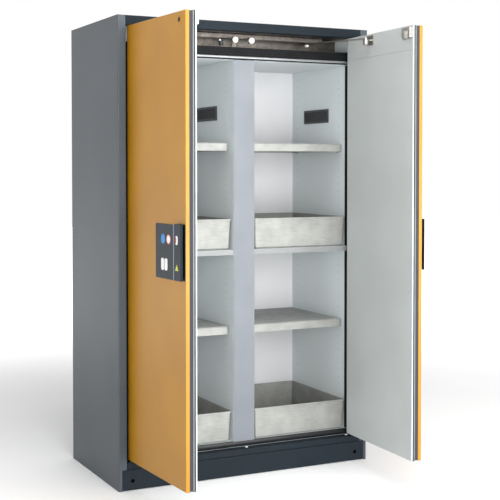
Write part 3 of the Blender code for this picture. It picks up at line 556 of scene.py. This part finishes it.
# plain grey plastic caps, nearly flush, over the screws of the inner panel: two columns of six
cap_grey = satin("grey_screw_cap", "#A9ACAC", "#B6B9B8", 12, 0.8, 0.01, (0.40, 0.48), IOR=1.5)
CAP_FROM_EDGE = 0.028
CAP_Z = np.array((0.170, 0.495, 0.820, 1.145, 1.470, 1.790))
cap = [(0.0055, 0.0), (0.0055, 0.0002), (0.0050, 0.0004), (0.0034, 0.0005), (TIP, 0.0005)]
for label, side in (("left", -1), ("right", 1)):
    run, _ = door_axes(side)
    places = np.concatenate([on_door(side, along, THICK, CAP_Z)
                             for along in (CAP_FROM_EDGE, DOOR_WIDE - CAP_FROM_EDGE)])
    shell("door_screw_caps_" + label, stand(disc_loops(cap, 14), places, side * run, Z), "door_" + label,
          cap_grey)


# ---------------------------------------------------------------- handles and label plate
# Moulded slate coloured plastic, clipped to the outer skin: a pull handle that stands
# over a finger recess, and on one door a flat plate with blank symbols.

# dark blue grey, satin, fine mould texture
slate = satin("slate_moulded_plastic", "#0F1A22", "#15222B", 35, 1.0, 0.02, (0.34, 0.44),
              IOR=1.5, Specular_IOR_Level=0.25)
dress(slate, "handle_left", "handle_right", "label_plate")


def rounded_outline(size, corner, steps=5):
    """Rectangle with round corners: each quarter turns about its own corner centre."""
    signs = np.repeat(np.array(((1, 1), (-1, 1), (-1, -1), (1, -1))), steps, axis=0)
    turn = np.concatenate([np.linspace(q, q + 1, steps) for q in range(4)]) * math.pi / 2
    return signs * (np.asarray(size) / 2 - corner) + corner * np.stack((np.cos(turn), np.sin(turn)), -1)


def pillow(size, corner, high, edge, steps=3):
    """Flat plate with a rounded rim: the outline draws in by one minus the cosine and rises by the sine of an
    angle that goes from 0 to 90 degrees over the rim."""
    rim = np.linspace(0, math.pi / 2, steps)
    rows = [(0.0, 0.0), *zip(edge * (1 - np.cos(rim)), high - edge + edge * np.sin(rim))]
    loops = []
    for inset, rise in rows:
        flat = rounded_outline(np.asarray(size) - 2 * inset, max(corner - inset, 0.0002))
        loops.append(np.concatenate((flat, np.full((len(flat), 1), rise)), -1))
    return np.array(loops)


def printed(name, hex_colour):
    """Printed or moulded plain colour, satin, with the plate's fine texture."""
    return satin(name, hex_colour, hex_colour, 12, 1.0, 0.01, (0.36, 0.44), IOR=1.5)


PLATE_FACE = -0.0023            # depths from the door's outer face, negative outward
HANDLE_EDGE = -0.0160
HANDLE_FACE = -0.0179
plate_run, _ = door_axes(-1)


def on_plate(name, loops, along, high, material, through=PLATE_FACE, ring=False):
    """Stand a small shape on the outer side of the left door."""
    points = stand(loops, [on_door(-1, along, through, high)], plate_run, Z)
    return shell(name, points, "door_left", material, ring)


blue = printed("printed_blue", "#2C7FC2")
red = printed("printed_red", "#C9473A")
white = printed("printed_white", "#E4E6E6")
lime = printed("printed_yellow_green", "#C6C53A")
# light slate for the handle's rounded edge, a painted highlight
slate_painted_highlight = printed("slate_edge_painted_highlight", "#6F8193")

# upper row: a blue disc, and a white disc in a red ring
ROW_Z = 1.060
RING_ALONG = 0.402
blue_disc = [(0.019, 0), (0.019, 0.0003), (0.0187, 0.0005), (TIP, 0.0005)]
white_disc = [(0.015, 0), (0.015, 0.0003), (0.0147, 0.0004), (TIP, 0.0004)]
red_ring = [(0.0150, 0), (0.0190, 0), (0.0190, 0.0004), (0.0187, 0.0006), (0.0153, 0.0006), (0.0150, 0.0004)]
on_plate("blank_symbol_blue", disc_loops(blue_disc, 32), 0.352, ROW_Z, blue)
on_plate("blank_symbol_white", disc_loops(white_disc, 32), RING_ALONG, ROW_Z, white)
on_plate("blank_symbol_ring", disc_loops(red_ring, 32), RING_ALONG, ROW_Z, red, ring=True)

# lower row: two blank blocks
block = pillow((0.026, 0.046), 0.008, 0.0006, 0.0003)
for name, along in (("blank_block_1", 0.348), ("blank_block_2", 0.379)):
    on_plate(name, block, along, 0.963, white)

# on the handle: a white lozenge with a red mark, and a yellow-green triangle with one corner up
on_plate("blank_symbol_small", pillow((0.018, 0.034), 0.008, 0.0006, 0.0003), 0.506, 1.062, white,
         through=HANDLE_FACE)
on_plate("blank_symbol_small_mark", pillow((0.008, 0.022), 0.003, 0.0011, 0.0003), 0.502, 1.062, red,
         through=HANDLE_FACE)
triangle = disc_loops([(0.0150, 0.0), (0.0150, 0.0004), (0.0145, 0.0006), (TIP, 0.0006)], 3)
triangle = np.stack((-triangle[..., 1], triangle[..., 0], triangle[..., 2]), -1)
on_plate("blank_symbol_lime", triangle, 0.508, 0.957, lime, through=HANDLE_FACE)

# a light strip where the handle rises beside the plate: its light colour is a painted highlight on the
# handle's rounded edge
on_plate("handle_edge_painted_highlight", pillow((0.0042, 0.209), 0.0018, 0.0030, 0.0014), 0.4803, 1.017, slate_painted_highlight,
         through=HANDLE_EDGE)


# ---------------------------------------------------------------- lock rosette
# A round yellow cover over the door's lock with a dark disc in its middle for the keyway, set in
# the outer skin of the door with the plate; the disc's darkness is painted shade of the keyhole.

ROSETTE_ALONG, ROSETTE_Z = 0.497, 1.880
rosette = [(0.0175, 0.0), (0.0175, 0.0008), (0.0168, 0.0016), (0.0150, 0.0020), (0.0110, 0.0020),
           (0.0100, 0.0014), (0.0060, 0.0012), (0.0055, 0.0004), (TIP, 0.0004)]
keyway = [(0.0095, 0.0), (0.0095, 0.0016), (0.0080, 0.0020), (0.0045, 0.0018), (TIP, 0.0012)]
on_plate("lock_rosette", disc_loops(rosette, 32), ROSETTE_ALONG, ROSETTE_Z, yellow, 0.0)
# dark disc for the keyway, its blackened steel a painted shade of the keyhole
on_plate("lock_keyway_painted_shade", disc_loops(keyway, 24), ROSETTE_ALONG, ROSETTE_Z, black_steel,
         0.0)


# ---------------------------------------------------------------- floor, light and camera
# A plain pale floor, a pale surround that is brighter behind the cabinet, two large
# soft lights in front and one above, and the camera.

FLOOR_HALF, FLOOR_DROP = 20, 0.0004
floor_mesh = bpy.data.meshes.new("floor")
floor_corners = np.array(((-1, -1, 0), (1, -1, 0), (1, 1, 0), (-1, 1, 0))) * FLOOR_HALF
floor_mesh.from_pydata(floor_corners - FLOOR_DROP * Z, [], [(0, 1, 2, 3)])
floor = bpy.data.objects.new("floor", floor_mesh)
bpy.context.scene.collection.objects.link(floor)
floor_paint, tree, shader, where = toned("pale_studio_floor", "#F1F1F1", "#F3F3F3", 900, Roughness=0.9)
# from 2 m out to 6 m the floor comes to glow as bright as the surround, so no horizon shows
reach = add(tree, "ShaderNodeVectorMath", {0: where}, operation="LENGTH")
glow = add(tree, "ShaderNodeMapRange", {"Value": reach.outputs["Value"], "From Min": 2.0, "From Max": 6.0,
                                        "To Min": 0.0, "To Max": 1.0}, interpolation_type="SMOOTHSTEP")
tree.links.new(glow.outputs["Result"], shader.inputs["Emission Strength"])
shader.inputs["Emission Color"].default_value = (1.0, 1.0, 1.0, 1.0)
floor_mesh.materials.append(floor_paint)

world = bpy.data.worlds.new("studio")
bpy.context.scene.world = world
world.use_nodes = True
tree = world.node_tree
tree.nodes.clear()
direction = add(tree, "ShaderNodeTexCoord").outputs["Generated"]
parts = add(tree, "ShaderNodeSeparateXYZ", {"Vector": direction})
behind = add(tree, "ShaderNodeMapRange", {"Value": parts.outputs["Y"], "From Min": 0.1, "From Max": 0.7,
                                          "To Min": 0.55, "To Max": 1.0})
sky = add(tree, "ShaderNodeBackground", {"Color": (1.0, 1.0, 1.0, 1.0), "Strength": behind.outputs["Result"]})
add(tree, "ShaderNodeOutputWorld", {"Surface": sky.outputs["Background"]})


def soft_light(name, place, aim, size, watts):
    """A square area light that looks at a point."""
    data = bpy.data.lights.new(name, "AREA")
    data.size = size
    data.energy = watts
    light = bpy.data.objects.new(name, data)
    light.location = place
    back = np.array(place) - np.array(aim)
    light.rotation_euler = (math.acos(back[2] / np.linalg.norm(back)), 0.0, math.atan2(back[0], -back[1]))
    bpy.context.scene.collection.objects.link(light)


soft_light("softbox_left", (-1.2, -5.0, 1.3), (0.0, 0.0, 0.9), 3.0, 230.0)
soft_light("softbox_right", (1.4, -5.0, 1.3), (0.0, 0.0, 0.9), 3.0, 200.0)
soft_light("softbox_top", (0.0, -2.2, 4.4), (0.0, -1.4, 0.0), 3.0, 130.0)

lens = bpy.data.cameras.new("camera")
lens.lens = 81.1
lens.sensor_width = 36.0
lens.shift_y = -0.0985
camera = bpy.data.objects.new("camera", lens)
camera.location = (-2.1639, -4.3818, 1.3331)
camera.rotation_euler = (math.radians(88.3), 0.0, math.radians(-26.54))
bpy.context.scene.collection.objects.link(camera)
bpy.context.scene.camera = camera
bpy.context.scene.view_settings.view_transform = "Standard"
